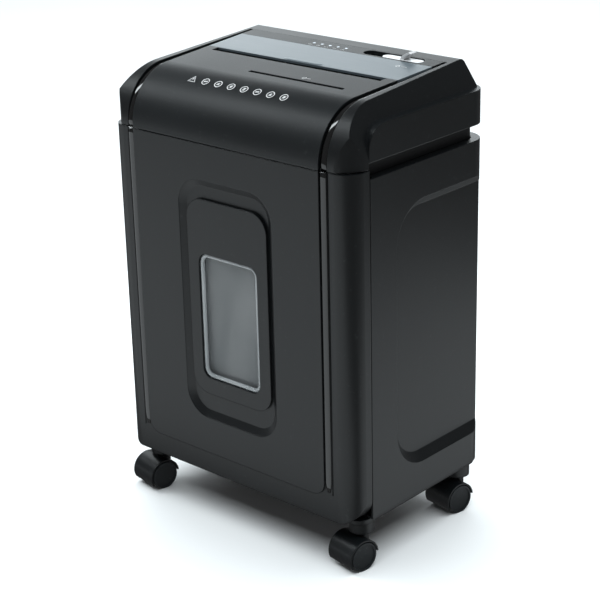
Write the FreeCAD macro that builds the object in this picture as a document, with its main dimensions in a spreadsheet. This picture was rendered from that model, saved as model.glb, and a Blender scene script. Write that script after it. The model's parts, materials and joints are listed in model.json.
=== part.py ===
import FreeCAD, Part
import math
import os
import re
import Sketcher

# Paper shredder with a pull-out bin on four twin-wheel casters, in millimetres.
# +Z is up, the front faces -Y, the origin is on the floor below the middle of the body.

doc = FreeCAD.newDocument("paper_shredder")
sheet = doc.addObject("Spreadsheet::Sheet", "Dims")
V = FreeCAD.Vector
rows = 0


class Size:
    """A length or angle with the expression that the sheet works it out with."""

    def __init__(self, value, text):
        self.value, self.text = float(value), text

    def _join(self, other, sign, value, swap=False):
        text = other.text if isinstance(other, Size) else repr(float(other))
        left, right = (text, self.text) if swap else (self.text, text)
        return Size(value, f"({left} {sign} {right})")

    def __add__(self, other):
        return self._join(other, "+", self.value + num(other))

    def __radd__(self, other):
        return self._join(other, "+", num(other) + self.value, True)

    def __sub__(self, other):
        return self._join(other, "-", self.value - num(other))

    def __rsub__(self, other):
        return self._join(other, "-", num(other) - self.value, True)

    def __mul__(self, other):
        return self._join(other, "*", self.value * num(other))

    def __rmul__(self, other):
        return self._join(other, "*", num(other) * self.value, True)

    def __truediv__(self, other):
        return self._join(other, "/", self.value / num(other))

    def __neg__(self):
        return Size(-self.value, f"(0 - {self.text})")


def num(size):
    return size.value if isinstance(size, Size) else float(size)


def size(alias, value):
    """Writes one driving dimension to the sheet."""
    global rows
    rows += 1
    sheet.set(f"A{rows}", str(value))
    sheet.setAlias(f"A{rows}", alias)
    return Size(value, f"Dims.{alias}")


# ---- driving dimensions ----
case_width = size("case_width", 326)
case_depth = size("case_depth", 222)
case_bottom = size("case_bottom", 55)
case_top = size("case_top", 414)
seam_height = size("seam_height", 424)
band_bottom = size("band_bottom", 430)
band_top = size("band_top", 465)
hood_top = size("hood_top", 493)
wall = size("wall", 2.5)
gap = size("gap", 0.8)
front_corner = size("front_corner", 20)
hood_corner = size("hood_corner", 32)
rear_corner = size("rear_corner", 24)
hood_front_radius = size("hood_front_radius", 58)
hood_crest = size("hood_crest", 483)
hood_top_half = size("hood_top_half", 138)
bin_front_depth = size("bin_front_depth", 32)
step_back = size("step_back", 2.5)
panel_half = size("panel_half", 126)
strip_width = size("strip_width", 9)
panel_foot = size("panel_foot", 26)
panel_corner = size("panel_corner", 15)
panel_rear = size("panel_rear", 78)
paper_slot = size("paper_slot", 228)
paper_slot_gap = size("paper_slot_gap", 10)
disc_slot = size("disc_slot", 124)
disc_slot_gap = size("disc_slot_gap", 4.6)
disc_slot_x = size("disc_slot_x", 38)
disc_slot_y = size("disc_slot_y", -44)
dish_half = size("dish_half", 64)
dish_low = size("dish_low", 122)
dish_high = size("dish_high", 385)
dish_corner = size("dish_corner", 30)
dish_depth = size("dish_depth", 5)
bezel_half = size("bezel_half", 55)
bezel_low = size("bezel_low", 150)
bezel_high = size("bezel_high", 364)
bezel_corner = size("bezel_corner", 21)
bezel_rise = size("bezel_rise", 3.2)
window_half = size("window_half", 40.5)
window_low = size("window_low", 168)
window_high = size("window_high", 306)
window_corner = size("window_corner", 11)
pane_set_back = size("pane_set_back", 9)
scoop_front = size("scoop_front", -39)
scoop_low = size("scoop_low", 90)
scoop_high = size("scoop_high", 376)
scoop_corner = size("scoop_corner", 44)
scoop_depth = size("scoop_depth", 8)
grip_depth = size("grip_depth", 10)
tub_half = size("tub_half", 146)
tub_top = size("tub_top", 322)
tub_rear = size("tub_rear", 92)
shaft_height = size("shaft_height", 424)
shaft_spacing = size("shaft_spacing", 29)
disc_radius = size("disc_radius", 17.5)
frame_half = size("frame_half", 119)
frame_thickness = size("frame_thickness", 3)
bearing_radius = size("bearing_radius", 8)
shaft_radius = size("shaft_radius", 6)
motor_radius = size("motor_radius", 29)
motor_length = size("motor_length", 128)
wheel_radius = size("wheel_radius", 15.5)
wheel_width = size("wheel_width", 14)
hood_gap = size("hood_gap", 1.2)
hood_wall = size("hood_wall", 1.8)
web_width = size("web_width", 7)
trail = size("trail", 11)
stem_radius = size("stem_radius", 4.5)
socket_radius = size("socket_radius", 13.5)
socket_low = size("socket_low", 37.5)
caster_x = size("caster_x", 145)
caster_front_y = size("caster_front_y", -76)
caster_rear_y = size("caster_rear_y", 86)
caster_turn = size("caster_turn", -10)
running = size("running", 0.05)
doc.recompute()

half_width = case_width / 2
front_y = -case_depth / 2
rear_y = case_depth / 2
bin_seam_y = front_y + bin_front_depth

nodes = {}
counter = {}


def unique(stem):
    counter[stem] = counter.get(stem, 0) + 1
    return f"{stem}_{counter[stem]}"


def bind(obj, prop, amount):
    """Sets a property, and ties it to the sheet when it comes from there."""
    if isinstance(amount, Size):
        obj.setExpression(prop, amount.text)
    elif prop.startswith("."):
        obj.setExpression(prop, repr(float(amount)))
    else:
        setattr(obj, prop, amount)


def place(obj, x=0, y=0, z=0):
    for axis, amount in zip("xyz", (x, y, z)):
        if isinstance(amount, Size) or amount:
            bind(obj, f".Placement.Base.{axis}", amount)
    return obj


def block(x0, x1, y0, y1, z0, z1):
    """A box between two corners."""
    obj = doc.addObject("Part::Box", unique("Box"))
    for prop, low, high in (("Length", x0, x1), ("Width", y0, y1), ("Height", z0, z1)):
        bind(obj, prop, Size(num(high) - num(low), f"({as_text(high)} - {as_text(low)})"))
    return place(obj, x0, y0, z0)


def as_text(amount):
    return amount.text if isinstance(amount, Size) else repr(float(amount))


TURNS = {"x": ("y", 90), "y": ("x", -90), "z": (None, 0)}


def rod(axis, radius, length, x=0, y=0, z=0):
    """A cylinder that starts at a point and runs along an axis."""
    obj = doc.addObject("Part::Cylinder", unique("Cylinder"))
    bind(obj, "Radius", radius)
    bind(obj, "Height", length)
    about, angle = TURNS[axis]
    if about:
        way = V(0, 1, 0) if about == "y" else V(1, 0, 0)
        obj.Placement = FreeCAD.Placement(V(0, 0, 0), FreeCAD.Rotation(way, angle))
    return place(obj, x, y, z)


def cut(base, *tools):
    obj = doc.addObject("Part::Cut", unique("Cut"))
    obj.Base = base
    obj.Tool = tools[0] if len(tools) == 1 else fuse(*tools)
    return obj


def fuse(*parts):
    obj = doc.addObject("Part::MultiFuse", unique("Fuse"))
    obj.Shapes = list(parts)
    return obj


def common(*parts):
    obj = doc.addObject("Part::MultiCommon", unique("Common"))
    obj.Shapes = list(parts)
    return obj


def group(*parts):
    """Separate solids that share one node."""
    obj = doc.addObject("Part::Compound", unique("Group"))
    obj.Links = list(parts)
    return obj


def node(name, obj):
    obj.Label = name
    nodes[name] = obj
    return obj


PLANES = {"z": "XY_Plane", "y": "XZ_Plane", "x": "YZ_Plane"}

def pin(sketch, line, end, across, amount):
    """Holds one coordinate of a point of the sketch at an amount."""
    kind = "DistanceX" if across == 0 else "DistanceY"
    rule = sketch.addConstraint(Sketcher.Constraint(kind, -1, 1, line, end, num(amount)))
    if isinstance(amount, Size):
        sketch.setExpression(f"Constraints[{rule}]", amount.text)


def outline(sketch, corners):
    """A closed outline. A corner is (u, v) or (u, v, radius), and a radius rounds it with an arc."""
    count = len(corners)
    points = [V(num(c[0]), num(c[1]), 0) for c in corners]
    into, out, centres = [], [], []
    for i, c in enumerate(corners):
        before = (points[i - 1] - points[i]).normalize()
        after = (points[(i + 1) % count] - points[i]).normalize()
        half = before.getAngle(after) / 2
        radius = c[2] if len(c) == 3 else 0
        middle = (before + after).normalize()
        reach = 1 / math.tan(half)
        into.append([c[k] + radius * round(before[k] * reach, 9) for k in (0, 1)])
        out.append([c[k] + radius * round(after[k] * reach, 9) for k in (0, 1)])
        centres.append([c[k] + radius * round(middle[k] / math.sin(half), 9) for k in (0, 1)])
    spots = [[V(num(p[0]), num(p[1]), 0) for p in row] for row in (into, out, centres)]
    lines = []
    for i in range(count):
        line = sketch.addGeometry(Part.LineSegment(spots[1][i], spots[0][(i + 1) % count]))
        lines.append(line)
        for k in (0, 1):
            pin(sketch, line, 1, k, out[i][k])
    for i, c in enumerate(corners):
        if len(c) == 2:
            sketch.addConstraint(Sketcher.Constraint("Coincident", lines[i - 1], 2, lines[i], 1))
            continue
        centre = spots[2][i]
        angles = [math.atan2(spots[j][i].y - centre.y, spots[j][i].x - centre.x) for j in (0, 1)]
        forward = (angles[1] - angles[0]) % (2 * math.pi) < math.pi
        start, stop = angles if forward else reversed(angles)
        if stop < start:
            stop += 2 * math.pi
        arc = sketch.addGeometry(Part.ArcOfCircle(Part.Circle(centre, V(0, 0, 1), num(c[2])), start, stop))
        first, last = (1, 2) if forward else (2, 1)
        for k in (0, 1):
            pin(sketch, arc, 3, k, centres[i][k])
        sketch.addConstraint(Sketcher.Constraint("Coincident", lines[i], 1, arc, last))
        sketch.addConstraint(Sketcher.Constraint("Coincident", lines[i - 1], 2, arc, first))
        along = points[i] - points[i - 1]
        k = 0 if abs(along[0]) > abs(along[1]) else 1
        pin(sketch, arc, first, k, into[i][k])


def prism(axis, corners, low, high):
    """A Body whose outline is padded along an axis, from low to high."""
    body = doc.addObject("PartDesign::Body", unique("Body"))
    sketch = body.newObject("Sketcher::SketchObject", unique("Sketch"))
    plane = [o for o in body.Origin.OriginFeatures if o.Role == PLANES[axis]][0]
    sketch.AttachmentSupport = [(plane, "")]
    sketch.MapMode = "FlatFace"
    outline(sketch, corners)
    pad = body.newObject("PartDesign::Pad", unique("Pad"))
    pad.Profile = sketch
    # the XZ plane's normal points along -Y
    offset = -high if axis == "y" else low
    bind(sketch, ".AttachmentOffset.Base.z", offset if isinstance(offset, Size) else float(offset))
    bind(pad, "Length", Size(num(high) - num(low), f"({as_text(high)} - {as_text(low)})"))
    body.Tip = pad
    return body


def sloped(body, axis, level, deep, across):
    """Slopes the walls of a rounded prism towards the end face at level."""
    doc.recompute()
    k = "xyz".index(axis)
    before = body.Tip
    names = [
        f"Face{i + 1}" for i, face in enumerate(before.Shape.Faces)
        if face.BoundBox.DiagonalLength > 1 and abs(face.CenterOfMass[k] - num(level)) < 1e-4
    ]
    chamfer = body.newObject("PartDesign::Chamfer", unique("Chamfer"))
    chamfer.Base = (before, names)
    chamfer.ChamferType = "Two distances"
    bind(chamfer, "Size", deep)
    bind(chamfer, "Size2", across)
    body.Tip = chamfer
    return body


def plan(inset, corner=front_corner):
    """The body's outline seen from above, pulled in by inset."""
    x, front, rear = half_width - inset, front_y + inset, rear_y - inset
    f, r = corner - inset, rear_corner - inset
    return [(-x, front, f), (x, front, f), (x, rear, r), (-x, rear, r)]


def rounded(u0, u1, v0, v1, radius):
    return [(u0, v0, radius), (u1, v0, radius), (u1, v1, radius), (u0, v1, radius)]


def mirrored(x0, x1, *rest):
    """The same block on both sides of the middle."""
    return block(x0, x1, *rest), block(-x1, -x0, *rest)


# ---- head: hood, neck, band and top panel ----
grip_front_y = front_y + 30
neck_front_y = bin_seam_y
hood_rear_y = rear_y - 13
side_bend = size("side_bend", 70)


def hood(inset, set_back=0):
    """The head's outer form pulled in by inset: a side profile, a front profile and the plan, in common.
    A set_back moves its front face further in than its top."""
    low = case_top - 1
    front = front_y + inset + set_back
    side = [
        (front, low), (front, hood_crest - inset - 3.5, hood_front_radius - inset - set_back),
        (hood_rear_y - inset, hood_top - inset, 5),
        (rear_y - 7 - inset, band_top + 2), (rear_y - 7 - inset, low),
    ]
    lower, upper = half_width - inset, hood_top_half - inset - 2
    face = [
        (-lower, low), (lower, low), (lower, seam_height + 19, side_bend), (upper, hood_top + 4),
        (-upper, hood_top + 4), (-lower, seam_height + 19, side_bend),
    ]
    return common(
        prism("x", side, -half_width, half_width),
        prism("y", face, front_y - 1, rear_y + 1),
        prism("z", plan(inset, hood_corner), low, hood_top + 2),
    )


def rail(front_half, rear_half):
    """A slab over the top panel, seen from above, whose width may change from front to rear."""
    bend = front_y + hood_front_radius
    corners = [
        (-front_half, front_y - 1), (front_half, front_y - 1), (front_half, bend),
        (rear_half, panel_rear), (-rear_half, panel_rear), (-front_half, bend),
    ]
    return prism("z", corners, case_top - 2, hood_top + 3)


lip = seam_height
outer, border, inner = hood(0), hood(0, step_back), hood(wall)
skin = cut(outer, inner)
border_skin = cut(border, hood(wall, step_back))
below_band = block(-half_width - 1, half_width + 1, grip_front_y, rear_y + 1, case_top - 2, band_bottom)
below_seam = block(-half_width - 1, half_width + 1, front_y - 1, rear_y + 1, case_top - 2, lip)
band_profile = [
    (grip_front_y + gap, band_bottom, 2), (rear_y + 4, band_bottom), (rear_y + 4, band_top),
    (grip_front_y + gap, band_top, 24),
]
band = cut(
    common(prism("z", plan(0), band_bottom, band_top), prism("x", band_profile, -half_width, half_width)),
    inner,
)
neck = cut(
    prism("z", plan(grip_depth), case_top - 6, band_bottom + wall),
    prism("z", plan(grip_depth + wall), case_top - 7, band_bottom + wall + 1),
    block(-half_width, half_width, front_y, neck_front_y, case_top - 7, band_bottom + wall + 1),
)
ledge = cut(
    common(prism("z", plan(wall / 2), band_bottom, band_bottom + wall),
           block(-half_width, half_width, grip_front_y, rear_y, band_bottom, band_bottom + wall)),
    prism("z", plan(grip_depth + wall), band_bottom - 1, band_bottom + wall + 1),
)
edge_half = panel_half + strip_width
opening = rail(edge_half, edge_half - 1)
vent_count = 9
vents = [
    block(-60 + 14 * i, -54 + 14 * i, rear_y - 12, rear_y + 2, band_bottom + 9, band_top - 8)
    for i in range(vent_count)
]
gland_x = -110
gland_radius = size("gland_radius", 8)
cord_hole = size("cord_hole", 3.8)
gland_z = (band_bottom + band_top) / 2
gland_hole = rod("y", gland_radius, 20, gland_x, rear_y - 14, gland_z)
node("head_shell", cut(fuse(cut(border_skin, below_band, below_seam), band, neck, ledge), opening,
                       gland_hole, *vents))
gland = fuse(
    rod("y", gland_radius, 12, gland_x, rear_y - 12, gland_z),
    rod("y", gland_radius + 2, wall, gland_x, rear_y - 14.5, gland_z),
)
node("cord_gland", cut(gland, rod("y", cord_hole, 24, gland_x, rear_y - 18, gland_z)))

slot_y = size("slot_y", -3.5)
guide_rear = size("guide_rear", 59)
fit = size("fit", 0.25)
top_skin = cut(common(skin, rail(panel_half, panel_half + 4)), below_seam)
slot_rear = slot_y + paper_slot_gap
slot_cut = block(-paper_slot / 2, paper_slot / 2, slot_y, slot_rear + fit, seam_height, hood_top)
disc_cut = block(disc_slot_x - disc_slot / 2, disc_slot_x + disc_slot / 2, disc_slot_y,
                 disc_slot_y + disc_slot_gap, seam_height, hood_top)


def behind(y0, y1):
    return block(-half_width, half_width, y0, y1, seam_height, hood_top + 2)


node("head_panel", cut(top_skin, slot_cut, disc_cut, behind(slot_rear, rear_y)))
node("guide_plate", common(top_skin, behind(slot_rear + fit, guide_rear)))

# ---- slide switch, lamps and control strip ----
switch_y = size("switch_y", 69)
switch_x = size("switch_x", 85)
knob_length = size("knob_length", 50)
knob_width = size("knob_width", 12)
switch_travel = size("switch_travel", 24)
pocket_z = hood_top - 10
pocket_right = switch_x + knob_length / 2 + 1
pocket_left = switch_x - knob_length / 2 - switch_travel - 1
half_pocket = knob_width / 2 + 1


def pill(x0, x1, half, low, high):
    return prism("z", rounded(x0, x1, switch_y - half, switch_y + half, half - 0.01), low, high)


pocket = pill(pocket_left, pocket_right, half_pocket, pocket_z, hood_top + 3)
lamp_count = 5
lamp_pitch = size("lamp_pitch", 11)
lamp_radius = size("lamp_radius", 1.6)
lamp_start = -34
lamp_z = hood_top - 8
lamp_holes = [rod("z", lamp_radius + 0.05, 12, lamp_start + lamp_pitch * i, switch_y, lamp_z)
              for i in range(lamp_count)]
node("control_strip", cut(common(top_skin, behind(guide_rear + fit, panel_rear)), pocket, *lamp_holes))
lamp_body = [rod("z", lamp_radius, 10, lamp_start + lamp_pitch * i, switch_y, lamp_z + 0.4)
             for i in range(lamp_count)]
node("lamp_lenses", common(group(*lamp_body), outer))
tray_floor = pill(pocket_left - 1.5, pocket_right + 1.5, half_pocket + 1.5, pocket_z - 1.5, hood_top - 2)
tray_hollow = pill(pocket_left, pocket_right, half_pocket, pocket_z, hood_top)
tray_slit = block(pocket_left + 12, pocket_right - 12, switch_y - 1.6, switch_y + 1.6, pocket_z - 2,
                  pocket_z + 1)
node("switch_tray", cut(common(tray_floor, hood(wall + 0.05)), tray_hollow, tray_slit))
knob_left, knob_right = switch_x - knob_length / 2, switch_x + knob_length / 2
knob_base = pill(knob_left, knob_right, knob_width / 2, pocket_z + 0.6, hood_top - 2.4)
fin_profile = [
    (switch_x - 3, pocket_z + 2), (switch_x + 5, pocket_z + 2), (switch_x + 3.5, hood_top - 1, 6),
    (switch_x + 13, hood_top + 4.5), (switch_x + 11, hood_top + 6.5), (switch_x + 1, hood_top + 1, 10),
]
knob_fin = prism("y", fin_profile, switch_y - knob_width / 2 + 1, switch_y + knob_width / 2 - 1)
knob_foot = block(switch_x - 4, switch_x + 4, switch_y - 1.3, switch_y + 1.3, pocket_z - 5, pocket_z + 1)
node("switch_knob", fuse(knob_base, knob_fin, knob_foot))
switch_top = pocket_z - 5.4
node("switch_block", block(switch_x - 34, switch_x + 12, switch_y - 9, switch_y + 9, switch_top - 12,
                           switch_top))

# ---- gloss strips beside the top panel ----
strip_skin = cut(cut(hood(step_back), hood(step_back + 1.4)), below_seam)
strip_outer = rail(edge_half - fit, edge_half - 1 - fit)
strips = cut(common(strip_skin, strip_outer), rail(panel_half + fit, panel_half + 4.2))
middle = half_width + 1
tall = (front_y - 2, rear_y + 2, case_top, hood_top + 4)
node("head_trim_right", common(strips, block(0, middle, *tall)))
node("head_trim_left", common(strips, block(-middle, 0, *tall)))

# ---- paper throat and disc chute ----
slot_middle = slot_y + paper_slot_gap / 2
throat_low = shaft_height + disc_radius + 3
throat_x = paper_slot / 2 + 2
throat = [
    block(-throat_x, throat_x, slot_y - 2, slot_y, throat_low, hood_crest - 3),
    block(-throat_x, throat_x, slot_rear + fit, slot_rear + 2, throat_low, hood_crest - 2),
    block(-throat_x, -paper_slot / 2, slot_y, slot_rear + fit, throat_low, hood_crest - 3),
    block(paper_slot / 2, throat_x, slot_y, slot_rear + fit, throat_low, hood_crest - 3),
]
node("paper_throat", cut(fuse(*throat), block(disc_slot_x - disc_slot / 2, disc_slot_x + disc_slot / 2,
                                              slot_y - 3, slot_y, throat_low - 1, throat_low + 14)))

# ---- cutter unit ----
front_shaft_y = slot_middle - shaft_spacing / 2
rear_shaft_y = slot_middle + shaft_spacing / 2
frame_low, frame_high = shaft_height - 32, shaft_height + 26
frame_y0, frame_y1 = front_shaft_y - 28, rear_shaft_y + 62
stage_y = rear_shaft_y + 27.6
stage_z = shaft_height - 19.4
motor_y = stage_y + 18.4
motor_z = stage_z - 32.7
plate_low = motor_z - motor_radius


def frame_plate(x0, x1):
    plate = fuse(
        block(x0, x1, frame_y0, frame_y1, frame_low, frame_high),
        block(x0, x1, motor_y - motor_radius, motor_y + motor_radius, plate_low, frame_high),
    )
    holes = [rod("x", bearing_radius, 20, x0 - 8, y, shaft_height) for y in (front_shaft_y, rear_shaft_y)]
    return cut(plate, *holes, rod("x", 9, 20, x0 - 8, motor_y, motor_z))


node("frame_plate_right", frame_plate(frame_half, frame_half + frame_thickness))
node("frame_plate_left", frame_plate(-frame_half - frame_thickness, -frame_half))
bearing_holes = [
    cut(rod("x", bearing_radius, frame_thickness, x, y, shaft_height),
        rod("x", shaft_radius + running, frame_thickness + 4, x - 2, y, shaft_height))
    for x in (frame_half, -frame_half - frame_thickness) for y in (front_shaft_y, rear_shaft_y)
]
node("shaft_bushes", group(*bearing_holes))
tie_radius = 3
tie_spots = [(frame_y0 + 7, frame_low + 8), (frame_y0 + 7, frame_high - 8), (frame_y1 - 8, frame_high - 8),
             (rear_shaft_y + 30, frame_high - 8)]
node("tie_rods", group(*[rod("x", tie_radius, frame_half * 2, -frame_half, y, z) for y, z in tie_spots]))
front_shaft_end = frame_half + 10.5
node("cutter_shaft_front", rod("x", shaft_radius, front_shaft_end + frame_half + 8, -frame_half - 8,
                               front_shaft_y,
                               shaft_height))
node("cutter_shaft_rear", rod("x", shaft_radius, frame_half * 2 + 24.6, -frame_half - 8, rear_shaft_y,
                              shaft_height))


def solid(name, shape):
    obj = doc.addObject("Part::Feature", unique("Solid"))
    obj.Shape = shape
    return node(name, obj)


def wheel_shape(radii, x0, x1, y, z, bore, turn=0.0):
    """A toothed or sawn disc along X. radii lists (share of one tooth's angle, radius) round one tooth."""
    teeth, steps = radii
    points = []
    for i in range(teeth):
        for share, radius in steps:
            a = (i + share) * 2 * math.pi / teeth + turn
            points.append(V(x0, y + radius * math.cos(a), z + radius * math.sin(a)))
    face = Part.Face(Part.makePolygon(points + points[:1]))
    ring = face.extrude(V(x1 - x0, 0, 0))
    return ring.cut(Part.makeCylinder(bore, x1 - x0 + 2, V(x0 - 1, y, z), V(1, 0, 0)))


disc_count = 36
disc_pitch = 6.2
disc_thick = 2.9
hook_depth = 2.2
saw = (12, [(0.0, num(disc_radius)), (0.12, num(disc_radius)), (0.2, num(disc_radius) - hook_depth)])


def disc_stack(y, shift):
    first = -disc_count * disc_pitch / 2 + shift
    spots = [first + disc_pitch * i for i in range(disc_count)]
    discs = [wheel_shape(saw, x, x + disc_thick, y, num(shaft_height), num(shaft_radius) + 0.02)
             for x in spots]
    return Part.makeCompound(discs)


solid("cutter_discs_front", disc_stack(num(front_shaft_y), 0.1))
solid("cutter_discs_rear", disc_stack(num(rear_shaft_y), disc_pitch / 2 + 0.1))


def comb(y0, y1, reach0, reach1, shift):
    """A stripper bar whose fingers stand between the discs of one shaft."""
    first = -disc_count * disc_pitch / 2 + shift + disc_thick + 0.35
    z = num(shaft_height)
    finger = disc_pitch - disc_thick - 0.7
    bar = Part.makeBox(2 * num(frame_half), y1 - y0, 12, V(-num(frame_half), y0, z - 6))
    fingers = [
        Part.makeBox(finger, reach1 - reach0, 8, V(first + disc_pitch * i, reach0, z - 4))
        for i in range(disc_count - 1)
    ]
    return bar.fuse(fingers)


stripper_clear = num(disc_radius) + 1.5
hub_clear = num(shaft_radius) + 0.6
yf, yr = num(front_shaft_y), num(rear_shaft_y)
solid("stripper_comb_front", comb(yf - stripper_clear - 5, yf - stripper_clear, yf - stripper_clear,
                                  yf - hub_clear, 0.1))
solid("stripper_comb_rear", comb(yr + stripper_clear, yr + stripper_clear + 5, yr + hub_clear,
                                 yr + stripper_clear,
                                 disc_pitch / 2 + 0.1))


def gear(teeth, module, x0, x1, y, z, bore, turn):
    """A spur gear with straight flanks and some backlash. turn is the angle of one tooth's middle."""
    pitch = math.pi * module
    thick = [(0.5 * pitch / 2 - 0.13 * module + rise * module * math.tan(math.radians(20)))
             for rise in (1.2, -0.95)]
    root, tip = module * (teeth / 2 - 1.25), module * (teeth / 2 + 0.9)
    at_root, at_tip = thick[0] / pitch, thick[1] / pitch
    steps = [(-at_root, root), (-at_tip, tip), (at_tip, tip), (at_root, root)]
    return wheel_shape((teeth, steps), x0, x1, y, z, bore, turn)


zs = num(shaft_height)
gear_face = num(frame_half) + num(frame_thickness) + 0.8
level = [gear_face, gear_face + 6.8, gear_face + 13.6]
gear_width = 6.0
sync_teeth = 16
sync_module = num(shaft_spacing) / sync_teeth
drive_teeth, stage_pinion_teeth, stage_teeth, motor_teeth = 40, 14, 48, 12
drive_module = 1.25
bore_fit = num(shaft_radius)
solid("sync_gear_rear", gear(sync_teeth, sync_module, level[0], level[0] + gear_width, yr, zs, bore_fit,
                             math.pi))
solid("sync_gear_front", gear(sync_teeth, sync_module, level[0], level[0] + gear_width, yf, zs, bore_fit,
                              math.pi / sync_teeth))
to_stage = math.atan2(num(stage_z) - zs, num(stage_y) - yr)
to_motor = math.atan2(num(motor_z) - num(stage_z), num(motor_y) - num(stage_y))
solid("drive_gear", gear(drive_teeth, drive_module, level[1], level[1] + gear_width, yr, zs, bore_fit,
                         to_stage))
pin_radius = 3.0
pin_bore = pin_radius + num(running)
stage_small = gear(stage_pinion_teeth, drive_module, level[1], level[2], num(stage_y), num(stage_z),
                   pin_bore,
                   to_stage + math.pi + math.pi / stage_pinion_teeth)
stage_large = gear(stage_teeth, drive_module, level[2], level[2] + gear_width, num(stage_y), num(stage_z),
                   pin_bore,
                   to_motor)
solid("stage_gear", stage_small.fuse(stage_large))
node("stage_pin", rod("x", pin_radius, level[2] + gear_width + 0.8 - num(frame_half) - num(frame_thickness),
                      frame_half + frame_thickness, stage_y, stage_z))
motor_shaft_radius = 3.0
solid("motor_pinion", gear(motor_teeth, drive_module, level[2], level[2] + gear_width, num(motor_y),
                           num(motor_z),
                           motor_shaft_radius, to_motor + math.pi + math.pi / motor_teeth))
motor_x0 = frame_half - motor_length
motor_bore = motor_shaft_radius + running
can = cut(rod("x", motor_radius, motor_length, motor_x0, motor_y, motor_z),
          rod("x", motor_radius - 5, motor_length - 12, motor_x0 + 6, motor_y, motor_z),
          rod("x", motor_bore, motor_length + 2, motor_x0 - 1, motor_y, motor_z))
node("motor_can", can)
node("motor_rotor", fuse(rod("x", motor_radius - 8, motor_length - 30, motor_x0 + 15, motor_y, motor_z),
                         rod("x", motor_shaft_radius, level[2] + gear_width + 1 - motor_x0, motor_x0 + 1,
                             motor_y, motor_z)))

# ---- chassis tray that closes the head from below ----
tray_low = size("tray_low", 336)
tray_inset = grip_depth + wall + gap
tray_outer = prism("z", plan(tray_inset), tray_low, case_top + 6)
tray_inner = prism("z", plan(tray_inset + wall), tray_low + wall, case_top + 7)
front_bay = block(-half_width, half_width, front_y, bin_seam_y + 4, tray_low - 1, case_top + 8)
tray_front = block(-half_width + tray_inset, half_width - tray_inset, bin_seam_y + 4, bin_seam_y + 4 + wall,
                   tray_low, case_top + 6)
exit_hole = block(-paper_slot / 2, paper_slot / 2, front_shaft_y - 12, rear_shaft_y + 8, tray_low - 1,
                  tray_low + wall + 1)
feet = [block(x0, x0 + 12, y0, y0 + 26, tray_low + wall, frame_low)
        for x0 in (-frame_half - 4.5, frame_half - 7.5) for y0 in (frame_y0 + 2,)]
node("chassis_tray", cut(fuse(cut(tray_outer, tray_inner, front_bay), tray_front, *feet), exit_hole))
node("control_board", block(-112, -40, motor_y - 22, motor_y + 24, tray_low + wall + 8,
                            tray_low + wall + 9.6))
board_x, board_z = -106, tray_low + wall + 9.6
node("board_parts", group(
    block(board_x, board_x + 26, motor_y - 16, motor_y + 10, board_z, board_z + 20),
    rod("z", 8, 24, board_x + 42, motor_y - 8, board_z),
    block(board_x + 36, board_x + 58, motor_y + 6, motor_y + 18, board_z, board_z + 14),
))
node("board_posts", group(*[
    rod("z", 3, 8, x, y, tray_low + wall)
    for x in (-106, -46) for y in (motor_y - 18, motor_y + 20)
]))
node("interlock_switch", block(-12, 12, rear_y - 36, rear_y - 20, tray_low - 12, tray_low))

# ---- case ----


def behind_seam(y):
    return block(-half_width - 1, half_width + 1, front_y - 1, y, case_bottom - 10, case_top + 10)


def scoop(x0, x1, grow):
    """The hollow in each side: a rounded outline that runs out through the rear edge."""
    low, high, front = scoop_low - grow, scoop_high + grow, scoop_front - grow
    rear = rear_y + 40
    corners = [(front, low, scoop_corner), (rear, low), (rear, high), (front, high, scoop_corner)]
    return prism("x", corners, x0, x1)


shell = cut(prism("z", plan(0), case_bottom, case_top), behind_seam(bin_seam_y))
hollow = cut(prism("z", plan(wall), case_bottom + wall, case_top - wall), behind_seam(bin_seam_y - 1))
mouth = prism("z", plan(grip_depth - gap), case_top - wall - 1, case_top + 1)
front_mouth = block(-half_width + wall, half_width - wall, bin_seam_y - 2, bin_seam_y + 6,
                    case_bottom + wall, case_top + 1)
liner_x = half_width - scoop_depth - wall
liners = [scoop(x0, x1, wall) for x0, x1 in ((liner_x, half_width - 1), (1 - half_width, -liner_x))]
liner = common(fuse(*liners), prism("z", plan(wall / 2), case_bottom + 1, case_top - 1),
               cut(prism("z", plan(0), case_bottom, case_top), behind_seam(bin_seam_y)))
carve_x = half_width - scoop_depth


def sloped_scoop(side):
    """The hollow with sloped walls on one side."""
    floor, outer = side * carve_x, side * (half_width + 2)
    low, high = (floor, outer) if side > 0 else (outer, floor)
    body = scoop(low, high, 0)
    return sloped(body, "x", floor, scoop_depth - 0.5, 9)


scoop_right, scoop_left = sloped_scoop(1), sloped_scoop(-1)
case_shape = cut(fuse(cut(shell, hollow, mouth, front_mouth), liner), scoop_right, scoop_left)
node("case_shell", case_shape)
rail_x = size("rail_x", 118)
rails = mirrored(rail_x, rail_x + 8, bin_seam_y + 2, tub_rear - 4, case_bottom + wall,
                 case_bottom + wall + 2.5)
node("bin_rails", group(*rails))

# ---- base plate with caster sockets ----
base_low = case_bottom - 5
sockets = [
    rod("z", socket_radius, base_low - socket_low + 0.5, sx * caster_x, y, socket_low)
    for sx in (1, -1) for y in (caster_front_y, caster_rear_y)
]
stem_holes = [
    rod("z", stem_radius + running, 14, sx * caster_x, y, socket_low - 1)
    for sx in (1, -1) for y in (caster_front_y, caster_rear_y)
]
base = prism("z", rounded(-half_width + 4, half_width - 4, front_y + 17, rear_y - 5, 14), base_low,
             case_bottom)
node("base_plate", cut(fuse(base, *sockets), *stem_holes))

# ---- pull-out bin ----
bin_low, bin_high = case_bottom + 1, seam_height - 1.2
face_y = front_y + step_back
bin_half = half_width
bin_back = bin_seam_y - gap


def bin_plan(inset, rear):
    x, f = bin_half - inset, front_corner - inset
    return [(-x, face_y + inset, f), (x, face_y + inset, f), (x, rear), (-x, rear)]


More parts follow.
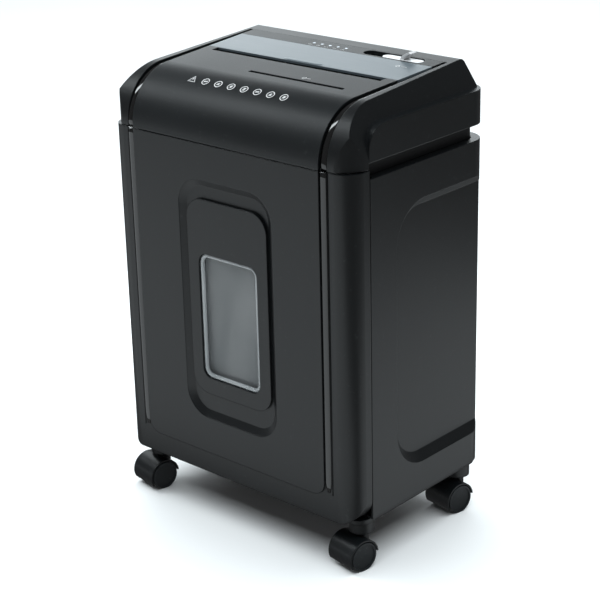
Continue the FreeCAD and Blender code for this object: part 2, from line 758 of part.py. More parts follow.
def front_view(inset, low, high):
    x = bin_half - inset
    return prism("y", [(-x, low, 20 - inset), (x, low, 20 - inset), (x, high), (-x, high)], front_y - 1,
                 bin_seam_y + 1)


bin_block = common(prism("z", bin_plan(0, bin_back), bin_low, bin_high),
                   front_view(0, bin_low, bin_high + 5))
bin_hollow = common(prism("z", bin_plan(wall, bin_seam_y + 3), bin_low + wall, bin_high - wall),
                    front_view(wall, bin_low + wall, bin_high + 5))
plate_low_z = case_bottom + panel_foot
plate_face = prism("y", [(-panel_half, plate_low_z, panel_corner), (panel_half, plate_low_z, panel_corner),
                         (panel_half, bin_high), (-panel_half, bin_high)], front_y, face_y + 0.5)
backing = prism("y", rounded(-dish_half - 2, dish_half + 2, dish_low - 2, dish_high + 2, dish_corner),
                face_y + 0.5,
                front_y + dish_depth + wall + 1)
dish_floor = front_y + dish_depth
dish = sloped(prism("y", rounded(-dish_half, dish_half, dish_low, dish_high, dish_corner), front_y - 1,
                    dish_floor),
              "y", dish_floor, dish_depth - 0.4, 7.5)
sight = prism("y", rounded(-window_half - 3.2, window_half + 3.2, window_low - 3.2, window_high + 3.2,
                           window_corner + 3), front_y - 1, bin_seam_y)
grooves = mirrored(panel_half + strip_width - 0.2, panel_half + strip_width + 1.2, face_y - 1, face_y + 1.2,
                   plate_low_z + 4, bin_high + 1)
node("bin_front", cut(fuse(cut(bin_block, bin_hollow), plate_face, backing), dish, sight, *grooves))


def bin_trim(x0, x1):
    return prism("y", [(x0, plate_low_z + 6, 3), (x1, plate_low_z + 6, 3), (x1, bin_high), (x0, bin_high)],
                 face_y - 1, face_y)


node("bin_trim_right", bin_trim(panel_half + 0.3, panel_half + strip_width - 0.5))
node("bin_trim_left", bin_trim(-panel_half - strip_width + 0.5, -panel_half - 0.3))
bezel_front = front_y + dish_depth - bezel_rise
bezel_plate = prism("y", rounded(-bezel_half, bezel_half, bezel_low, bezel_high, bezel_corner), bezel_front,
                    front_y + dish_depth)
bezel_hole = prism("y", rounded(-window_half, window_half, window_low, window_high, window_corner),
                   bezel_front - 1,
                   front_y + dish_depth + 1)
node("window_bezel", cut(bezel_plate, bezel_hole))
pane_y = front_y + pane_set_back
pane_size = (-window_half - 3, window_half + 3, window_low - 3, window_high + 3)
pane_plate = prism("y", rounded(*pane_size, window_corner + 2.8), front_y + dish_depth, pane_y + 2)
pane_hollow = prism("y", rounded(-window_half - 1.2, window_half + 1.2, window_low - 1.2, window_high + 1.2,
                                 window_corner + 1), front_y + dish_depth - 1, pane_y)
node("window_pane", cut(pane_plate, pane_hollow))
tub_front = bin_back - 12
tub_low = case_bottom + wall + 2.6
tub_wall = 2
tub_outer = prism("z", rounded(-tub_half, tub_half, tub_front, tub_rear, 14), tub_low, tub_top)
tub_inner = prism("z", rounded(-tub_half + tub_wall, tub_half - tub_wall, tub_front + tub_wall,
                               tub_rear - tub_wall, 12),
                  tub_low + tub_wall, tub_top + 1)
tub_sight = block(-window_half - 8, window_half + 8, tub_front - 1, tub_front + tub_wall + 1,
                  window_low - 8,
                  window_high + 4)
tub_rim = cut(prism("z", rounded(-tub_half - 3, tub_half + 3, tub_front - 1, tub_rear + 2, 15),
                    tub_top - 4, tub_top),
              prism("z", rounded(-tub_half + 1, tub_half - 1, tub_front + 1, tub_rear - 1, 13),
                    tub_top - 5, tub_top + 1))
node("bin_tub", cut(fuse(cut(tub_outer, tub_inner), tub_rim), tub_sight))
brackets = [
    block(x0, x0 + 14, front_y + dish_depth + wall + 1, tub_front, z, z + 3)
    for x0 in (-62, 48) for z in (140, 300)
]
side_brackets = [
    block(x0, x0 + 14, face_y + wall, tub_front, z, z + 3) for x0 in (-118, 104) for z in (100, 316 - 20)
]
node("bin_brackets", group(*brackets, *side_brackets))

# ---- casters ----
hood_in = wheel_radius + hood_gap
hood_out = hood_in + hood_wall
half_caster = web_width / 2 + 0.4 + wheel_width
turned = math.radians(num(caster_turn))
axle_radius = 2.5


def at_caster(shape, x, y):
    """Puts a piece modelled round the stem's axis at one socket, turned as the caster stands."""
    obj = doc.addObject("Part::Compound", unique("Placed"))
    obj.Links = [shape]
    place(obj, x, y, 0)
    obj.Placement.Rotation = FreeCAD.Rotation(V(0, 0, 1), num(caster_turn))
    obj.setExpression(".Placement.Rotation.Angle", caster_turn.text)
    return obj


def caster_hood():
    outer = rod("x", hood_out, 2 * half_caster, -half_caster, -trail, wheel_radius)
    inner = rod("x", hood_in, 2 * half_caster + 2, -half_caster - 1, -trail, wheel_radius)
    low_cut = block(-40, 40, -60, 60, -30, 7)
    back_cut = block(-40, 40, -trail, 60, -30, wheel_radius + 2)
    fender = cut(outer, inner, low_cut, back_cut)
    web = cut(rod("x", hood_out - 0.5, web_width, -web_width / 2, -trail, wheel_radius), low_cut,
              block(-40, 40, -trail + 8, 60, -30, wheel_radius - 6))
    boss = cut(rod("z", 7.5, socket_low - wheel_radius - 0.5, 0, 0, wheel_radius),
               rod("x", hood_in, 2 * half_caster, web_width / 2, -trail, wheel_radius),
               rod("x", hood_in, 2 * half_caster, -web_width / 2 - 2 * half_caster, -trail, wheel_radius))
    axle = rod("x", axle_radius, 2 * half_caster - 4, -half_caster + 2, -trail, wheel_radius)
    stem = rod("z", stem_radius, 12, 0, 0, socket_low - 1.5)
    return fuse(fender, web, boss, stem, axle)


def caster_wheel(side):
    x0 = web_width / 2 + 0.4 if side > 0 else -half_caster
    face_x = half_caster - 1 if side > 0 else -half_caster - 1
    disc = rod("x", wheel_radius, wheel_width, x0, -trail, wheel_radius)
    dish_cut = rod("x", wheel_radius - 2.2, 2, face_x, -trail, wheel_radius)
    bore_start = web_width / 2 - 1 if side > 0 else -half_caster + 1.9 - 1e-9
    bore_cut = rod("x", axle_radius + running, wheel_width - 0.3, bore_start, -trail, wheel_radius)
    return cut(disc, dish_cut, bore_cut)


corner_spots = {
    "front_left": (-caster_x, caster_front_y), "front_right": (caster_x, caster_front_y),
    "rear_left": (-caster_x, caster_rear_y), "rear_right": (caster_x, caster_rear_y),
}
shapes = {"hood": caster_hood(), "wheel_left": caster_wheel(-1), "wheel_right": caster_wheel(1)}
for corner, (x, y) in corner_spots.items():
    for piece, shape in shapes.items():
        node(f"caster_{piece}_{corner}", at_caster(shape, x, y))

# ---- fasteners ----
tray_screw_x = half_width - tray_inset - 8
screw_spots = [(sx * tray_screw_x, y) for sx in (1, -1) for y in (bin_seam_y + 14, rear_y - 40)]
node("head_screws", group(*[
    fuse(rod("z", 4, 2.4, x, y, tray_low - 2.4), rod("z", 2, 8, x, y, tray_low - 0.2))
    for x, y in screw_spots
]))
nodes["chassis_tray"] = cut(nodes["chassis_tray"], *[rod("z", 2, 9, x, y, tray_low - 0.5) for x,
                                                     y in screw_spots])
old = nodes["chassis_tray"].Base
old.Label = "tray_blank"
nodes["chassis_tray"].Label = "chassis_tray"
screw_x = frame_half + frame_thickness
plate_screws = [
    cut(rod("x", 5, 2.2, x0, y, z), block(x0 - 1, x0 + 3.2, y - 3.4, y + 3.4, z - 0.6, z + 0.6))
    for x0 in (screw_x, -screw_x - 2.2) for y, z in tie_spots
]
node("frame_screws", group(*plate_screws))

doc.recompute()
bad = [o.Name for o in doc.Objects if "Invalid" in o.State or "Error" in o.State]
if bad:
    raise SystemExit(f"failed objects: {bad}")
os.makedirs("parts", exist_ok=True)
for name in os.listdir("parts"):
    if re.fullmatch(r".*\.step", name):
        os.remove(os.path.join("parts", name))
for name, obj in nodes.items():
    shape = obj.Shape
    if shape.isNull() or not shape.isValid() or not shape.Solids:
        raise SystemExit(f"{name} has no valid solid")
    shape.exportStep(f"parts/{name}.step")
print(f"{len(nodes)} nodes written")
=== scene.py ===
import json
import math

import bmesh
import bpy
import numpy as np
from mathutils import Matrix, Vector


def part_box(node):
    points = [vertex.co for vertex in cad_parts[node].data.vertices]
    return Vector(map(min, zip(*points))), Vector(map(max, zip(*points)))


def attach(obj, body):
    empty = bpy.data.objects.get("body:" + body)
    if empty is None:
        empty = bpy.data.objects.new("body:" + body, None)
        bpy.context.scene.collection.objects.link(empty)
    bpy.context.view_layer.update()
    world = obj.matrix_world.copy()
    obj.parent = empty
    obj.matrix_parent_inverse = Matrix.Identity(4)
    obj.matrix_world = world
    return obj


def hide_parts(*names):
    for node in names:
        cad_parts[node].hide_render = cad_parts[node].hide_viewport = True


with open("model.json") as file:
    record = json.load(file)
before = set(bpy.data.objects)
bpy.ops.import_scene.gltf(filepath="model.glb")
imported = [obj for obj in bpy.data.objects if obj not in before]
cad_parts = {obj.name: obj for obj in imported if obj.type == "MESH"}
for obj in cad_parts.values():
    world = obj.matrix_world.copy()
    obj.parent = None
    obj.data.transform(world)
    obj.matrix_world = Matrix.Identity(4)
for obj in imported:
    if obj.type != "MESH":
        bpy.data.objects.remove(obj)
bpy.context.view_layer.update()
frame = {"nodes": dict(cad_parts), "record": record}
print("frame loaded:", len(frame["nodes"]), "nodes")


# Shader maths: a socket with the usual operators.
class Socket:
    def __init__(self, tree, source):
        self.tree, self.source = tree, source

    def math(self, operation, *others):
        return self.tree.add("ShaderNodeMath", {"operation": operation}, [self, *others])

    def __add__(self, other):
        return self.math("ADD", other)

    def __radd__(self, other):
        return self.math("ADD", other)

    def __sub__(self, other):
        return self.math("SUBTRACT", other)

    def __mul__(self, other):
        return self.math("MULTIPLY", other)

    def clamped(self, low, high):
        return self.tree.add("ShaderNodeMapRange", {"clamp": True},
                             {"Value": self, "From Min": low, "From Max": high})


class Shader:
    def __init__(self, name):
        self.material = bpy.data.materials.new(name)
        self.material.use_nodes = True
        self.nodes = self.material.node_tree.nodes
        self.links = self.material.node_tree.links
        self.nodes.clear()

    # adds a node: its type, its settings first, then the values or links of its sockets
    def add(self, kind, settings=None, inputs=None, output=0):
        made = self.nodes.new(kind)
        for key, value in (settings or {}).items():
            setattr(made, key, value)
        pairs = inputs.items() if isinstance(inputs, dict) else enumerate(inputs or [])
        for key, value in pairs:
            if isinstance(value, Socket):
                self.links.new(value.source, made.inputs[key])
            else:
                made.inputs[key].default_value = value
        return Socket(self, made.outputs[output]) if made.outputs else made

    def place(self, scale=(1, 1, 1)):
        spot = self.add("ShaderNodeTexCoord", output="Object")
        return self.add("ShaderNodeMapping", {}, {"Vector": spot, "Scale": scale})

    def noise(self, scale, detail=3.0, stretch=(1, 1, 1)):
        return self.add("ShaderNodeTexNoise", {},
                        {"Vector": self.place(stretch), "Scale": scale, "Detail": detail, "Roughness": 0.5})

    def pebbles(self, scale):
        return self.add("ShaderNodeTexVoronoi", {"feature": "SMOOTH_F1"},
                        {"Vector": self.place(), "Scale": scale})

    def mixed(self, factor, one, two):
        made = self.nodes.new("ShaderNodeMix")
        made.data_type = "RGBA"
        for key, value in ((0, factor), (6, one), (7, two)):
            if isinstance(value, Socket):
                self.links.new(value.source, made.inputs[key])
            else:
                made.inputs[key].default_value = value
        return Socket(self, made.outputs[2])

    # edges rounded in shading by a radius, in metres
    def rounded(self, radius):
        return self.add("ShaderNodeBevel", {"samples": 6}, {"Radius": radius})

    def bump(self, height, distance, strength, normal):
        return self.add("ShaderNodeBump", {},
                        {"Height": height, "Distance": distance, "Strength": strength, "Normal": normal})

    def finish(self, inputs):
        shader = self.add("ShaderNodeBsdfPrincipled", {}, inputs)
        self.add("ShaderNodeOutputMaterial", {}, {"Surface": shader})
        return self.material


def tone(value, shift=(1, 1, 1)):
    return (value * shift[0], value * shift[1], value * shift[2], 1)


coolBlack = (0.82, 1.0, 1.12)


# moulded plastic: fine spark-eroded grain, slow flow marks in colour and gloss, rounded edges
def mouldedPlastic(name, look):
    s = Shader(name)
    flow = s.noise(9, 2.0, (1, 1, 0.45))
    fine = s.noise(look["grainScale"], 2.0)
    pits = s.pebbles(look["grainScale"] * 0.6)
    dust = s.noise(260, 1.0).clamped(0.66, 0.8)
    shift = look.get("shift", coolBlack)
    colour = s.mixed(flow.clamped(0.35, 0.7), tone(look["tone"], shift), tone(look["tone"] * 1.22, shift))
    colour = s.mixed(dust * look.get("dust", 0.02), colour, (0.4, 0.41, 0.42, 1))
    rough = look["roughness"] + (flow - 0.5) * 0.08 + (fine - 0.5) * 0.06
    height = fine * 0.6 + pits * 0.4
    normal = s.bump(height, look["grainDepth"], 0.5, s.rounded(look.get("edge", 0.0008)))
    return s.finish({"Base Color": colour, "Roughness": rough, "Normal": normal})


# polished black strip: clear top coat, very fine rub marks in its gloss
def polishedPlastic(name, look):
    s = Shader(name)
    rubs = s.noise(60, 4.0, (1, 1, 18)).clamped(0.45, 0.75)
    wave = s.noise(22, 1.0)
    colour = s.mixed(rubs * 0.12, tone(look["tone"]), tone(look["tone"] * 3.0))
    rough = look["roughness"] + rubs * 0.05
    normal = s.bump(wave, 0.0002, 0.25, s.rounded(0.0006))
    return s.finish({"Base Color": colour, "Roughness": rough, "Normal": normal, "Coat Weight": 0.6,
                     "Coat Roughness": 0.03})


# brushed satin plastic: streaks that run across the machine
def brushedPlastic(name, look):
    s = Shader(name)
    streaks = s.noise(900, 3.0, (0.03, 1, 1))
    broad = s.noise(30, 2.0, (0.1, 1, 1))
    colour = s.mixed(streaks, tone(look["tone"], coolBlack), tone(look["tone"] * 1.35, coolBlack))
    rough = look["roughness"] + (streaks - 0.5) * 0.14 + (broad - 0.5) * 0.08
    normal = s.bump(streaks, 0.00006, 0.45, s.rounded(0.0005))
    return s.finish({"Base Color": colour, "Roughness": rough, "Normal": normal})


# turned or ground steel with rings round its axis
def groundSteel(name, look):
    s = Shader(name)
    rings = s.noise(500, 3.0, (1, 0.06, 0.06))
    stain = s.noise(40, 3.0).clamped(0.45, 0.75)
    colour = s.mixed(stain * 0.4, tone(look["tone"]), tone(look["tone"] * 0.6, (1.0, 0.96, 0.9)))
    rough = look["roughness"] + (rings - 0.5) * 0.2 + stain * 0.12
    normal = s.bump(rings, 0.00005, 0.4, s.rounded(0.0003))
    return s.finish({"Base Color": colour, "Metallic": 1.0, "Roughness": rough, "Normal": normal})


# clear moulded pane: nearly see-through, faint haze and hairline rubs. Its brighter edge is a painted
# highlight: the rim carries a lighter, more opaque copy of this finish
def clearPlastic(name, look):
    s = Shader(name)
    haze = s.noise(35, 4.0, (1, 1, 0.35)).clamped(0.35, 0.8)
    hairs = s.noise(300, 2.0, (1, 1, 0.04)).clamped(0.6, 0.8)
    colour = s.mixed(haze * 0.5, tone(look["tone"], (0.95, 1.0, 1.03)), tone(look["tone"] * 1.5))
    alpha = look["alpha"] + haze * 0.08 + hairs * 0.08
    rough = look["roughness"] + haze * 0.1
    normal = s.bump(haze, 0.0003, 0.2, s.rounded(0.0008))
    return s.finish({"Base Color": colour, "Roughness": rough, "Alpha": alpha, "Normal": normal})


# printed marks: thin ink, a little worn through
def printedInk(name, look):
    s = Shader(name)
    wear = s.noise(700, 3.0).clamped(0.6, 0.85)
    colour = s.mixed(wear * 0.35, tone(look["tone"]), tone(look["tone"] * 0.7))
    return s.finish({"Base Color": colour, "Roughness": 0.45 + wear * 0.2})


finishes = {
    "case_plastic": mouldedPlastic("satinCase", {"tone": 0.004, "roughness": 0.38, "grainScale": 2600,
                                                 "grainDepth": 0.00006, "edge": 0.0014}),
    "panel_plastic": mouldedPlastic("mattePanel", {"tone": 0.006, "roughness": 0.42, "grainScale": 2000,
                                                   "grainDepth": 0.00008, "edge": 0.0008}),
    "gloss_black": polishedPlastic("polishedStrip", {"tone": 0.002, "roughness": 0.05}),
    "guide_plastic": brushedPlastic("brushedGuide", {"tone": 0.08, "roughness": 0.34}),
    "knob_plastic": mouldedPlastic("paleKnob", {"tone": 0.6, "shift": (1, 1, 1.01), "roughness": 0.3,
                                                "grainScale": 1800, "grainDepth": 0.00003, "edge": 0.0012,
                                                "dust": 0.0}),
    "lamp_plastic": mouldedPlastic("lampLens", {"tone": 0.5, "shift": (0.9, 1, 1.1), "roughness": 0.2,
                                                "grainScale": 1200, "grainDepth": 0.00002, "edge": 0.0003}),
    "inner_plastic": mouldedPlastic("innerPlastic", {"tone": 0.006, "roughness": 0.55, "grainScale": 1600,
                                                     "grainDepth": 0.0001, "edge": 0.0006}),
    "clear_pane": clearPlastic("clearPane", {"tone": 0.3, "alpha": 0.2, "roughness": 0.07}),
    "tub_plastic": mouldedPlastic("tubPlastic", {"tone": 0.06, "roughness": 0.4, "grainScale": 900,
                                                 "grainDepth": 0.0001, "edge": 0.001}),
    "caster_plastic": mouldedPlastic("casterPlastic", {"tone": 0.006, "roughness": 0.38, "grainScale": 1800,
                                                       "grainDepth": 0.00006, "edge": 0.0007}),
    "wheel_plastic": mouldedPlastic("wheelPlastic", {"tone": 0.012, "roughness": 0.46, "grainScale": 1500,
                                                     "grainDepth": 0.00007, "edge": 0.0006, "dust": 0.06}),
    "steel": groundSteel("groundSteel", {"tone": 0.55, "roughness": 0.3}),
    "dark_steel": groundSteel("blackenedSteel", {"tone": 0.16, "roughness": 0.42}),
    "gear_plastic": mouldedPlastic("gearPlastic", {"tone": 0.6, "shift": (1, 0.97, 0.86), "roughness": 0.4,
                                                   "grainScale": 1200, "grainDepth": 0.00006}),
    "board": mouldedPlastic("circuitBoard", {"tone": 0.1, "shift": (0.3, 1.2, 0.5), "roughness": 0.35,
                                             "grainScale": 700, "grainDepth": 0.00008}),
}
slotOf = {part["node"]: part["material_slot"] for part in frame["record"]["subparts"]}
for name, obj in frame["nodes"].items():
    finish = finishes[slotOf[name]]
    for one in obj.material_slots:
        one.material = finish
print("finishes on", len(frame["nodes"]), "nodes")


# a closed mesh that rides a body; its finish is its slot's own unless another is named
def newPiece(name, points, faces, body, slot, finish=None, smooth=True):
    mesh = bpy.data.meshes.new(name)
    mesh.from_pydata([tuple(p) for p in points], [], [tuple(f) for f in faces])
    mesh.validate()
    mesh.update()
    if smooth:
        mesh.polygons.foreach_set("use_smooth", np.ones(len(mesh.polygons), bool))
    obj = bpy.data.objects.new(name, mesh)
    bpy.context.scene.collection.objects.link(obj)
    obj.data.materials.append(finishes[finish or slot])
    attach(obj, body)
    return obj


def fixNormals(piece):
    mesh = bmesh.new()
    mesh.from_mesh(piece.data)
    bmesh.ops.recalc_face_normals(mesh, faces=mesh.faces)
    mesh.to_mesh(piece.data)
    mesh.free()


# faces of a closed grid: rows by columns, wrapped along the columns, and along the rows if asked
def gridFaces(rows, columns, wrapRows=False):
    r, c = np.meshgrid(np.arange(rows if wrapRows else rows - 1), np.arange(columns), indexing="ij")
    nextRow, nextColumn = (r + 1) % rows, (c + 1) % columns
    row, after = r * columns, nextRow * columns
    quads = np.stack([row + c, row + nextColumn, after + nextColumn, after + c], -1)
    return quads.reshape(-1, 4).tolist()


# The head's front curve is an arc about an axis along X. On it u runs across and s is the way from its crest.
headCurve = {"radius": 0.058, "axisY": -0.053, "axisZ": 0.42513, "lift": 0.00025}


def onCurve(u, s, lift):
    radius = headCurve["radius"] + lift
    angle = s / headCurve["radius"]
    y = headCurve["axisY"] - radius * np.sin(angle)
    z = headCurve["axisZ"] + radius * np.cos(angle)
    return np.stack([u, y, z], -1)


# outline strokes: inner and outer copies of a closed line, joined as a flat band with a little thickness
def stroke(centreU, centreS, outline, width):
    centre = outline.mean(0)
    out = outline - centre
    length = np.linalg.norm(out, axis=1, keepdims=True)
    inner = outline - out / length * width
    lift = headCurve["lift"]
    rings = [(outline, 0.0), (outline, lift), (inner, lift), (inner, 0.0)]
    points = np.concatenate([onCurve(centreU + ring[:, 0], centreS - ring[:, 1], h) for ring, h in rings])
    return points, gridFaces(4, len(outline), wrapRows=True)


def ringOutline(radius, count=40):
    a = np.linspace(0, 2 * math.pi, count, endpoint=False)
    return np.stack([radius * np.cos(a), radius * np.sin(a)], -1)


def polygonOutline(corners, perSide=6):
    corners = np.array(corners, float)
    after = np.roll(corners, -1, 0)
    t = np.linspace(0, 1, perSide, endpoint=False)[None, :, None]
    return (corners[:, None] * (1 - t) + after[:, None] * t).reshape(-1, 2)


marks = {
    "count": 8, "pitch": 0.0176, "radius": 0.0045, "middle": -0.005, "along": 0.0272,
    "line": 0.0006, "barLine": 0.00035, "glyphLine": 0.0007, "slashLine": 0.0003,
}


def addMarks():
    points, faces = [], []

    def put(outline, width):
        more, loops = stroke(u, marks["along"], outline, width)
        start = sum(len(p) for p in points)
        points.append(more)
        faces.extend([[i + start for i in loop] for loop in loops])
    first = marks["middle"] - marks["pitch"] * (marks["count"] - 1) / 2
    r = marks["radius"]
    glyphs = [
        [(-0.3, -0.5), (0.3, -0.5), (0.3, 0.5), (-0.3, 0.5)],
        [(-0.55, -0.2), (0.55, -0.2), (0.55, 0.2), (-0.55, 0.2)],
        [(-0.5, -0.4), (0.5, -0.4), (0.0, 0.5)],
        [(0, -0.55), (0.45, 0), (0, 0.55), (-0.45, 0)],
    ]
    triangle = np.array([(-1.1, -0.85), (1.1, -0.85), (0, 1.05)]) * r
    bar = np.array([(-0.1, -0.2), (0.1, -0.2), (0.1, 0.45), (-0.1, 0.45)]) * r
    slash = np.array([(-0.72, -0.62), (-0.62, -0.72), (0.72, 0.62), (0.62, 0.72)]) * r
    for i in range(marks["count"]):
        u = first + marks["pitch"] * i
        if i == 0:
            put(polygonOutline(triangle), marks["line"])
            put(polygonOutline(bar, 2), marks["barLine"])
            continue
        put(ringOutline(r), marks["line"])
        put(polygonOutline(np.array(glyphs[i % 4]) * r * 0.85, 4), marks["glyphLine"])
        put(polygonOutline(slash, 5), marks["slashLine"])
    newPiece("warning_marks", np.concatenate(points), faces, "cabinet", "lamp_plastic", "mark_ink", False)


finishes["mark_ink"] = printedInk("markInk", {"tone": 0.7})
addMarks()
print("marks placed")


# cosine or sine with a flatter top: its own sign times its size to a power
def squared(wave, power):
    return np.sign(wave) * np.abs(wave) ** power


# A bead along a path in a plane of constant x. Each ring is a squared round: half its width times cosine
# to the 0.7 along X, its height times sine to the 0.5 along the path's normal. The ends close on a point.
def bead(name, centres, normals, widths, heights, body, ringCount=20):
    a = np.linspace(0, 2 * math.pi, ringCount, endpoint=False)
    across = squared(np.cos(a), 0.7)[None, :] * widths[:, None] / 2
    outward = squared(np.sin(a), 0.5)[None, :] * heights[:, None]
    side = np.array((1.0, 0.0, 0.0))
    rings = centres[:, None, :] + side * across[..., None] + normals[:, None, :] * outward[..., None]
    points = rings.reshape(-1, 3)
    faces = gridFaces(len(centres), ringCount)
    last = len(points)
    points = np.concatenate([points, centres[:1], centres[-1:]])
    nextOne = np.roll(np.arange(ringCount), -1)
    faces += [[last, int(nextOne[k]), k] for k in range(ringCount)]
    base = (len(centres) - 1) * ringCount
    faces += [[last + 1, base + k, base + int(nextOne[k])] for k in range(ringCount)]
    piece = newPiece(name, points, faces, body, "gloss_black")
    fixNormals(piece)
    return piece


strip = {
    "height": 0.0011, "sink": 0.0032, "frontWidth": 0.0082, "rearWidth": 0.0034, "outerEdge": 0.1347,
    "drift": 0.001, "headSteps": 90, "binSteps": 60,
}


# the head's strip climbs, follows the curve, then runs back along the top while it narrows
def addHeadStrip(side):
    low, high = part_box(f"head_trim_{side}")
    sign = 1 if side == "right" else -1
    radius = headCurve["radius"] - strip["sink"]
    slope = math.atan2(high.z - (headCurve["axisZ"] + radius), high.y - headCurve["axisY"])
    t = np.linspace(0, 1, strip["headSteps"])
    climb = headCurve["axisZ"] - low.z
    arc = radius * (math.pi / 2 - slope)
    run = (high.y - headCurve["axisY"]) / math.cos(slope)
    way = t * (climb + arc + run)
    angle = np.clip((way - climb) / radius, 0, math.pi / 2 - slope)
    along = np.clip(way - climb - arc, 0, None)
    up = np.minimum(way, climb)
    y = headCurve["axisY"] - radius * np.cos(angle) + along * math.cos(slope)
    z = low.z + up + radius * np.sin(angle) + along * math.sin(slope)
    normals = np.stack([0 * t, -np.cos(angle), np.sin(angle)], -1)
    share = along / run
    widths = strip["frontWidth"] + (strip["rearWidth"] - strip["frontWidth"]) * share
    x = sign * (strip["outerEdge"] - widths / 2 - strip["drift"] * share)
    ends = np.clip(np.minimum(t, 1 - t) * 60, 0.25, 1)
    centres = np.stack([x, y, z], -1)
    piece = bead(f"head_strip_{side}", centres, normals, widths, strip["height"] * ends, "cabinet")
    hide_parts(f"head_trim_{side}")


# the bin's strip is upright and narrows to its foot
def addBinStrip(side):
    low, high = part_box(f"bin_trim_{side}")
    t = np.linspace(0, 1, strip["binSteps"])
    z = low.z + (high.z - low.z) * t
    x = np.full_like(t, (low.x + high.x) / 2)
    y = np.full_like(t, high.y - 0.0002)
    normals = np.tile([0.0, -1.0, 0.0], (len(t), 1))
    foot = np.clip(t * 40, 0.2, 1) ** 0.5
    centres = np.stack([x, y, z], -1)
    widths = (high.x - low.x) * foot
    piece = bead(f"bin_strip_{side}", centres, normals, widths, strip["height"] * foot, "bin")
    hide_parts(f"bin_trim_{side}")


for side in ("left", "right"):
    addHeadStrip(side)
    addBinStrip(side)
print("gloss strips built")

rim = {"width": 0.0042, "depth": 0.0045, "corner": 0.011, "inset": 0.0033, "setBack": 0.0012}


# the pane's turned-in edge: a small rounded profile carried round a rounded rectangle. The profile is real;
# its lighter, more opaque clear finish is a painted highlight along the pane's edge
def addPaneRim():
    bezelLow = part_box("window_bezel")[0]
    paneLow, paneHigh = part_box("window_pane")
    halfX = paneHigh.x - rim["inset"]
    z0, z1 = paneLow.z + rim["inset"], paneHigh.z - rim["inset"]
    corner = rim["corner"]
    a = np.linspace(0, math.pi / 2, 10)
    cx = np.array([halfX - corner, corner - halfX, corner - halfX, halfX - corner])
    cz = np.array([z1 - corner, z1 - corner, z0 + corner, z0 + corner])
    turn = a[None, :] + (np.arange(4) * math.pi / 2)[:, None]
    outX = (cx[:, None] + corner * np.cos(turn)).ravel()
    outZ = (cz[:, None] + corner * np.sin(turn)).ravel()
    inward = np.stack([-np.cos(turn).ravel(), -np.sin(turn).ravel()], -1)
    b = np.linspace(0, 2 * math.pi, 14, endpoint=False)
    inset = rim["width"] / 2 * (1 - np.cos(b))
    sink = rim["depth"] / 2 * (1 + np.sin(b))
    front = bezelLow.y + rim["setBack"]
    x = outX[:, None] + inward[:, :1] * inset[None, :]
    z = outZ[:, None] + inward[:, 1:] * inset[None, :]
    y = np.broadcast_to(front + sink[None, :], x.shape)
    points = np.stack([x, y, z], -1).reshape(-1, 3)
    faces = gridFaces(len(outX), len(b), wrapRows=True)
    fixNormals(newPiece("pane_rim", points, faces, "bin", "clear_pane", "rim_clear_painted_highlight"))


# painted highlight: the rim's clear finish is lighter and more opaque than the pane's own, so the pane's edge
# reads brighter
finishes["rim_clear_painted_highlight"] = clearPlastic("rimClearPaintedHighlight", {"tone": 0.4, "alpha": 0.45, "roughness": 0.08})
addPaneRim()
print("pane rim built")

headTop = {"slope": 0.0648}
tab = {"x": 0.002, "halfLength": 0.026, "depth": 0.006, "lift": 0.0007, "edge": 0.0006, "sunk": 0.001,
       "middleSunk": 0.0022, "rows": 12, "columns": 48}


# A raised tab at the guide plate's front edge. Its plan is a squared round, and its height over the plate
# is the lift times one minus the share of the way out to the eighth power.
def addGuideTab():
    low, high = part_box("guide_plate")
    rows, columns = tab["rows"], tab["columns"]
    r = np.linspace(0, 1, rows + 1)[1:, None]
    a = np.linspace(0, 2 * math.pi, columns, endpoint=False)[None, :]
    u = squared(np.cos(a), 0.35) * r
    v = squared(np.sin(a), 0.6) * r
    y = low.y + tab["edge"] + tab["depth"] * (1 + v) / 2
    surface = high.z - (high.y - y) * headTop["slope"]
    top = surface + tab["lift"] * (1 - r ** 8)
    x = tab["x"] + tab["halfLength"] * u
    points = np.stack([x + 0 * y, y, top], -1).reshape(-1, 3)
    centre = np.array([[tab["x"], low.y + tab["edge"] + tab["depth"] / 2, points[:, 2].max()]])
    under = points[-columns:] - np.array([0, 0, tab["sunk"]])
    middleUnder = centre - np.array([[0, 0, tab["middleSunk"]]])
    points = np.concatenate([points, under, centre, middleUnder])
    faces = gridFaces(rows + 1, columns)
    n = (rows + 1) * columns
    nextOne = np.roll(np.arange(columns), -1)
    faces += [[n, k, int(nextOne[k])] for k in range(columns)]
    base = rows * columns
    faces += [[n + 1, base + int(nextOne[k]), base + k] for k in range(columns)]
    fixNormals(newPiece("guide_tab", points, faces, "cabinet", "guide_plastic"))


addGuideTab()

# small printed marks on the flat top: rings and bars that say nothing
lampRow = {"count": 5, "first": -0.034, "pitch": 0.011, "y": 0.0625, "half": 0.0022}
lampBars = [(lampRow["first"] + lampRow["pitch"] * i, lampRow["y"], lampRow["half"])
            for i in range(lampRow["count"])]
topMarks = {
    "ring": [(0.042, -0.033, 0.0024), (0.098, 0.044, 0.0022)],
    "bar": [(0.106, 0.044, 0.003), (0.048, -0.033, 0.002)] + lampBars,
    "ringLine": 0.0005, "barLine": 0.00035, "barHalf": 0.0004, "below": 0.0001, "above": 0.0002,
}


